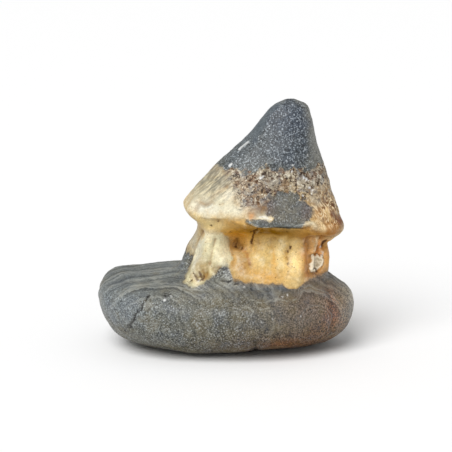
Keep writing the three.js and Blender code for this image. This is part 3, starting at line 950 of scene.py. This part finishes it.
def water_worn_banded_rock():
    """Fine-grained dark rock with a band of pale calcite, tumbled smooth by water.

    The eye sees a salt-and-pepper grain in the dark rock, a waxy pale band with
    rust and pores in its seams, a crumbly mix where they meet, and a soft sheen.
    """
    material = bpy.data.materials.new("water_worn_banded_rock")
    material.use_nodes = True
    tree = material.node_tree
    tree.nodes.clear()
    place = add(tree, "TexCoord", out="Object")
    dark_tint = add(tree, "Attribute", out="Color", attribute_name="dark_tint")
    pale_tint = add(tree, "Attribute", out="Color", attribute_name="pale_tint")
    into_pale, flow, crack_and_shadow, crystal, white_mineral_and_highlight, vein = (
        add(tree, "Attribute", out="Fac", attribute_name=name)
        for name in ("into_pale", "flow", "crack_and_shadow", "crystal", "white_mineral_and_highlight", "vein")
    )
    banded, grainy, flecked, earthy, dusty, rinsed, crumbly, folded, streaked = (
        add(tree, "Attribute", out="Fac", attribute_name=name)
        for name in "banded grainy flecked earthy dusty rinsed crumbly folded streaked".split()
    )

    # Where the patterns lie: as they are, drawn out up the left slope, and down along the folds.
    uphill = {"Vector": place, "Rotation": (0, math.radians(-40), 0), "Scale": (6, 2, 1)}
    up_slope = add(tree, "Mapping", uphill, vector_type="TEXTURE")
    downhill = {"Vector": place, "Rotation": (0, math.radians(-25), 0), "Scale": (1, 1.3, 2)}
    down_fold = add(tree, "Mapping", downhill, vector_type="TEXTURE")
    # Each pattern's place, size in millimetres, detail, roughness and distortion.
    sockets = ("Vector", "Scale", "Detail", "Roughness", "Distortion")
    flakes, sand, clots, cloud, ragged, streak, fold, patch, crumb, thread, bloom = (
        add(tree, "TexNoise", dict(zip(sockets, (at, per(size), *shape))))
        for at, size, *shape in (
            (place, 0.8, 1.0, 0.5, 0.0),  # flakes
            (place, 1.1, 2.0, 0.75, 0.0),  # sand
            (place, 2.8, 3.0, 0.6, 0.0),  # clots
            (place, 9.0, 3.0, 0.55, 0.0),  # cloud
            (place, 3.2, 4.0, 0.65, 0.0),  # ragged
            (up_slope, 1.3, 3.0, 0.6, 0.0),  # streak
            (down_fold, 4.4, 3.0, 0.6, 5.0),  # fold
            (place, 6.0, 3.0, 0.6, 1.0),  # patch
            (place, 2.4, 4.0, 0.75, 1.2),  # crumb
            (place, 7.0, 2.0, 0.5, 1.5),  # thread
            (place, 4.0, 3.0, 0.6, 0.0),  # bloom
        )
    )
    # Specks of 1.1 mm: a random kind for each, and the distance from its middle.
    speck = add(tree, "TexVoronoi", {"Vector": place, "Scale": per(1.1)}, out="Color")
    kind = add(tree, "SeparateColor", {"Color": speck}, out="Red")
    from_speck = add(tree, "TexVoronoi", {"Vector": place, "Scale": per(1.1)}, out="Distance")

    # The boundary: the distance into the pale rock, ragged by about 1 mm, or 3 mm in the crumbly band.
    swing = add(tree, "Math", {0: crumbly, 1: 9.0, 2: 4.0}, operation="MULTIPLY_ADD")
    centred = add(tree, "Math", {0: ragged, 1: 0.5}, operation="SUBTRACT")
    depth = add(tree, "Math", {0: centred, 1: swing, 2: into_pale}, operation="MULTIPLY_ADD")

    # Dark rock: clouded tint times the grain, with bands, light flecks and specks, and pale veins.
    clouding = {"Value": cloud, "From Min": 0.3, "From Max": 0.7, "To Min": 0.85, "To Max": 1.12}
    clouded = add(tree, "MapRange", clouding)
    salt = add(tree, "Math", {0: clots, 1: 0.35, 2: sand}, operation="MULTIPLY_ADD")
    flaked = add(tree, "Math", {0: flakes, 1: 0.5}, operation="SUBTRACT")
    flaked = add(tree, "Math", {0: flaked, 1: grainy}, operation="MULTIPLY")
    flaked = add(tree, "Math", {0: flaked, 1: 1.5, 2: salt}, operation="MULTIPLY_ADD")
    peppering = {"Value": flaked, "From Min": 0.3, "From Max": 1.06, "To Min": 0.2, "To Max": 1.72}
    peppered = add(tree, "MapRange", peppering)
    grained = add(tree, "Math", {0: clouded, 1: peppered}, operation="MULTIPLY")
    multiplied = {"out": 2, "data_type": "RGBA", "blend_type": "MULTIPLY"}
    dark = add(tree, "Mix", {0: 1.0, 6: dark_tint, 7: grained}, **multiplied)
    near_speck = add(tree, "MapRange", {"Value": from_speck, "From Min": 0.42, "From Max": 0.2})
    near_speck = add(tree, "Math", {0: near_speck, 1: flecked}, operation="MULTIPLY")
    in_vein = add(tree, "Math", {0: sand, 1: 0.6, 2: vein}, operation="MULTIPLY_ADD")
    wavy_flow = add(tree, "Math", {0: clots, 1: 1.6, 2: flow}, operation="MULTIPLY_ADD")
    # The flow is in millimetres already: a band every 1.6 mm.
    banding = {"W": wavy_flow, "Scale": 1 / 1.6, "Detail": 2.0, "Roughness": 0.6}
    bands = add(tree, "TexNoise", banding, noise_dimensions="1D")
    dark = layered(
        tree,
        dark,
        (
            (cloud, 0.48, 0.36, 0.15, 1.0, "#46566c"),
            (cloud, 0.52, 0.64, 0.28, earthy, "#6f6240"),
            (bands, 0.5, 0.36, 0.6, banded, "#25282a"),
            (bands, 0.5, 0.64, 0.5, banded, "#9b9c95"),
            (flakes, 0.56, 0.7, 0.6, flecked, "#aab1b7"),
            (kind, 0.9, 1.0, 0.75, near_speck, "#c9d0d6"),
            (in_vein, 0.8, 0.4, 0.5, 1.0, "#a5a59b"),
        ),
    )

    # Pale rock: clouded tint, streaks and folds, the crumbly band, rust at the boundary, and pores.
    mildly = {"Value": salt, "From Min": 0.38, "From Max": 0.98, "To Min": 0.7, "To Max": 1.2}
    mild = add(tree, "MapRange", mildly)
    soft = add(tree, "Math", {0: clouded, 1: mild}, operation="MULTIPLY")
    pale = add(tree, "Mix", {0: 1.0, 6: pale_tint, 7: soft}, **multiplied)
    drift = add(tree, "TexNoise", {"Vector": place, "Scale": per(4.0), "Detail": 3.0}, out="Color")
    drifted = add(tree, "VectorMath", {0: drift, 1: (3 * MM,) * 3, 2: place}, operation="MULTIPLY_ADD")
    clasts = add(tree, "TexVoronoi", {"Vector": drifted, "Scale": per(3.4)}, out="Color")
    clast = add(tree, "SeparateColor", {"Color": clasts}, out="Blue")
    clast_gap = add(tree, "TexVoronoi", {"Vector": drifted, "Scale": per(3.4)}, feature="DISTANCE_TO_EDGE")
    off_thread = add(tree, "Math", {0: thread, 1: 0.5}, operation="SUBTRACT")
    off_thread = add(tree, "Math", {0: off_thread}, operation="ABSOLUTE")
    threaded = add(tree, "MapRange", {"Value": cloud, "From Min": 0.42, "From Max": 0.58})
    rusty = add(tree, "MapRange", {"Value": depth, "From Min": 2.4, "From Max": 0.2, "To Min": 0.15})
    rust_seam = add(tree, "Math", {0: rusty, 1: crumbly}, operation="MULTIPLY")
    near_pore = add(tree, "MapRange", {"Value": from_speck, "From Min": 0.36, "From Max": 0.18})
    pale = layered(
        tree,
        pale,
        (
            # pale bloom, left off under the eave and in the shaded places as painted shade
            (bloom, 0.5, 0.7, 0.25, rinsed, "#f3ecd2"),
            (bloom, 0.48, 0.3, 0.25, 1.0, "#b9892f"),
            (off_thread, 0.012, 0.0, 0.45, threaded, "#7a4a1a"),
            (streak, 0.46, 0.62, 0.9, streaked, "#6e6a5c"),
            (streak, 0.46, 0.36, 0.7, streaked, "#d8cba6"),
            (fold, 0.5, 0.42, 0.95, folded, "#5c3c26"),
            (fold, 0.52, 0.58, 0.95, folded, "#f0deb8"),
            (patch, 0.49, 0.4, 0.8, crumbly, "#757677"),
            (clast, 0.3, 0.1, 0.6, crumbly, "#7a5e44"),
            (clast, 0.6, 0.95, 0.55, crumbly, "#9c9382"),
            (clast_gap, 0.04, 0.0, 0.4, crumbly, "#3c2a1d"),
            (crumb, 0.48, 0.42, 0.95, crumbly, "#2e1f15"),
            (crumb, 0.55, 0.62, 0.8, crumbly, "#d8d1be"),
            (clots, 0.52, 0.4, 0.6, rust_seam, "#5a331b"),
            (kind, 0.06, 0.03, 0.7, near_pore, "#55340f"),
        ),
    )

    # Both rocks, then the crystal in the niche, the dark cracks and holes, and the crystal's painted
    # shadow.
    is_pale = add(tree, "MapRange", {"Value": depth, "From Min": -0.6, "From Max": 0.6})
    colour = add(tree, "Mix", {0: is_pale, 6: dark, 7: pale}, out=2, data_type="RGBA")
    opening_and_shadow = add(tree, "Math", {0: sand, 1: 0.8, 2: crack_and_shadow}, operation="MULTIPLY_ADD")
    is_dark = add(tree, "Math", {0: 1.0, 1: is_pale}, operation="SUBTRACT")
    cloudiness = {"Value": salt, "From Min": 0.55, "From Max": 0.75, "To Min": 0.15, "To Max": 0.9}
    cloudy = add(tree, "MapRange", cloudiness)
    colour = layered(
        tree,
        colour,
        (
            (crystal, -0.8, -0.3, 0.4, 1.0, "#5a3c22"),
            (crystal, -0.2, 0.2, 1.0, 1.0, "#e9dcc2"),
            (crystal, 0.5, 1.0, 1.0, cloudy, "#a8977a"),
            # white minerals, and the painted highlights on the cap
            (white_mineral_and_highlight, -0.3, 0.5, 0.85, 1.0, "#e2e3e1"),
            (opening_and_shadow, 0.95, 0.5, 0.85, is_pale, "#46290f"),
            (opening_and_shadow, 0.95, 0.5, 0.9, is_dark, "#15130f"),
        ),
    )

    # Water-smoothed surface: satin on the dark rock, duller on the pale and where dust lies.
    sheen = add(tree, "MapRange", {"Value": is_pale, "To Min": 0.5, "To Max": 0.2})
    undusted = add(tree, "Math", {0: dusty, 1: -0.85, 2: 1.0}, operation="MULTIPLY_ADD")
    sheen = add(tree, "Math", {0: sheen, 1: undusted}, operation="MULTIPLY")
    polish = {"Value": sand, "From Min": 0.2, "From Max": 0.8, "To Min": 0.38, "To Max": 0.56}
    roughness = add(tree, "MapRange", polish)
    height = add(tree, "Math", {0: clots, 1: 0.8, 2: sand}, operation="MULTIPLY_ADD")
    bump = add(tree, "Bump", {"Strength": 0.6, "Distance": 0.4 * MM, "Height": height}, out="Normal")
    finish = {"Base Color": colour, "Roughness": roughness, "Specular IOR Level": sheen, "Normal": bump}
    surface = add(tree, "BsdfPrincipled", {"IOR": 1.5, **finish}, out="BSDF")
    add(tree, "OutputMaterial", {"Surface": surface})
    return material


def matt_white_card():
    """Studio card: an even pale ground without any shine."""
    material = bpy.data.materials.new("matt_white_card")
    material.use_nodes = True
    surface = material.node_tree.nodes["Principled BSDF"]
    surface.inputs["Base Color"].default_value = rgba("#f8f8f8")
    surface.inputs["Roughness"].default_value = 0.9
    return material


# ---------------------------------------------------------------------------
# Studio
# ---------------------------------------------------------------------------


def aimed(thing, place, target):
    """Put a light or a camera somewhere, looking at the target."""
    thing.location = place
    thing.rotation_euler = (Vector(target) - Vector(place)).to_track_quat("-Z", "Y").to_euler()
    bpy.context.scene.collection.objects.link(thing)


def soft_sun(strength, towards, spread_degrees):
    """A distant light with soft shadows; towards is where it stands, seen from the stone."""
    data = bpy.data.lights.new("soft_sun", "SUN")
    data.energy = strength
    data.angle = math.radians(spread_degrees)
    aimed(bpy.data.objects.new("soft_sun", data), towards, (0, 0, 0))


def studio():
    """A floor too wide to see its end, even white light all round, and a soft sun from the front left."""
    floor_mesh = bpy.data.meshes.new("floor")
    half = 15  # metres from the middle to each side
    corners = [(-half, -half, 0), (half, -half, 0), (half, half, 0), (-half, half, 0)]
    floor_mesh.from_pydata(corners, [], [(0, 1, 2, 3)])
    floor = bpy.data.objects.new("floor", floor_mesh)
    bpy.context.scene.collection.objects.link(floor)
    floor_mesh.materials.append(matt_white_card())
    world = bpy.data.worlds.new("soft_room")
    world.use_nodes = True
    world.node_tree.nodes["Background"].inputs["Color"].default_value = (1, 1, 1, 1)
    world.node_tree.nodes["Background"].inputs["Strength"].default_value = 0.45
    bpy.context.scene.world = world
    soft_sun(2.75, (-0.45, -0.8, 1.0), 44)


def camera():
    """At the height and distance that a small object on a table is looked at from."""
    target = Vector((0, 0, 0.067))
    distance, drop, seen_width = 0.8, math.radians(12), 0.247
    data = bpy.data.cameras.new("camera")
    data.sensor_width = 36
    data.lens = data.sensor_width * distance / seen_width
    eye = bpy.data.objects.new("camera", data)
    aimed(eye, target + Vector((0, -math.cos(drop), math.sin(drop))) * distance, target)
    bpy.context.scene.camera = eye


stone = viewing_stone()
stone.data.materials.append(water_worn_banded_rock())
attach(stone, "root")
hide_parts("stone")
studio()
camera()
bpy.context.scene.view_settings.view_transform = "Standard"
